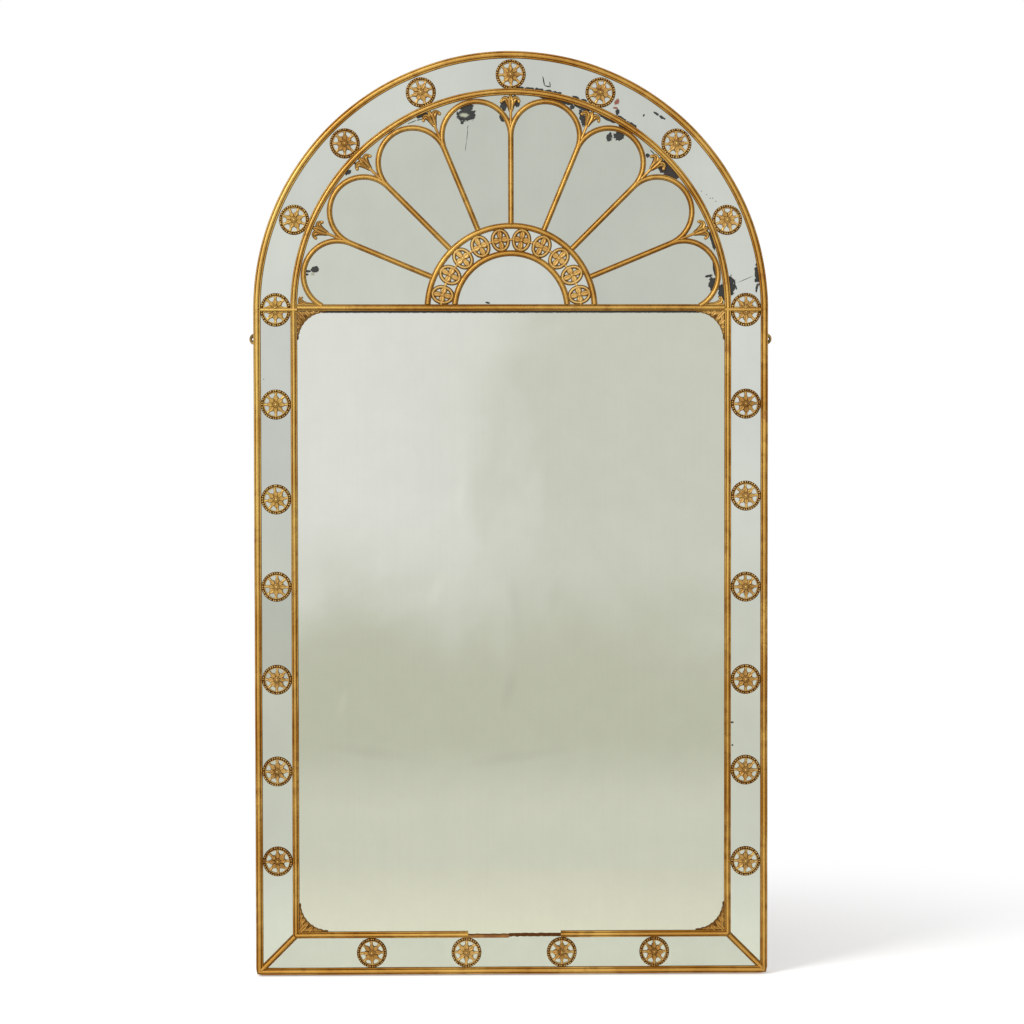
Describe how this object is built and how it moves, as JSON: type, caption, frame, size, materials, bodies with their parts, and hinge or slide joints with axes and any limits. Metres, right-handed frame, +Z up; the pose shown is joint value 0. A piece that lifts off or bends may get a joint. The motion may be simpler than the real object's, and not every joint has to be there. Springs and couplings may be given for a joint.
{
  "type": "giltwood wall mirror",
  "caption": "Tall round-arched wall mirror: gilt double moulding with a mirrored border, pierced rosettes and a fan of petals over one large plate.",
  "frame": {"origin": "on the wall plane, midway between the two wall-screw holes in the brass mirror plates", "axes": "+Z up, +X to the right as seen from the front, front faces -Y, wall behind at y = 0"},
  "size_m": [0.997, 0.0336, 1.754],
  "materials": {
    "gilt": "water gilt over gesso, worn",
    "pine": "bare aged pine",
    "looking_glass": "old silvered glass",
    "brass": "dull brass"
  },
  "bodies": {
    "root": {"outer_bead_left": "gilt", "outer_bead_right": "gilt", "outer_bead_bottom": "gilt", "outer_bead_arch": "gilt", "inner_bead_left": "gilt", "inner_bead_right": "gilt", "inner_bead_bottom": "gilt", "inner_bead_arch": "gilt", "cross_bead": "gilt", "border_bar_left": "gilt", "border_bar_right": "gilt", "mitre_bar_left": "gilt", "mitre_bar_right": "gilt", "hub_bead_outer": "gilt", "hub_bead_inner": "gilt", "spoke_1": "gilt", "spoke_2": "gilt", "spoke_3": "gilt", "spoke_4": "gilt", "spoke_5": "gilt", "spoke_6": "gilt", "spoke_7": "gilt", "petals": "gilt", "hub_roundels": "gilt", "palmettes": "gilt", "corner_leaves": "gilt", "rosettes": "gilt", "split_rosettes": "gilt", "stile_left": "pine", "stile_right": "pine", "bottom_rail": "pine", "spring_rail": "pine", "arch_head_left": "pine", "arch_head_crown": "pine", "arch_head_right": "pine", "lunette_ground": "pine", "backboard_1": "pine", "backboard_2": "pine", "backboard_3": "pine", "main_plate": "looking_glass", "side_plates_left": "looking_glass", "side_plates_right": "looking_glass", "bottom_plates": "looking_glass", "arch_plates": "looking_glass", "fan_plates": "looking_glass", "hub_plate": "looking_glass", "mirror_plate_left": "brass", "mirror_plate_right": "brass"}
  },
  "joints": []
}
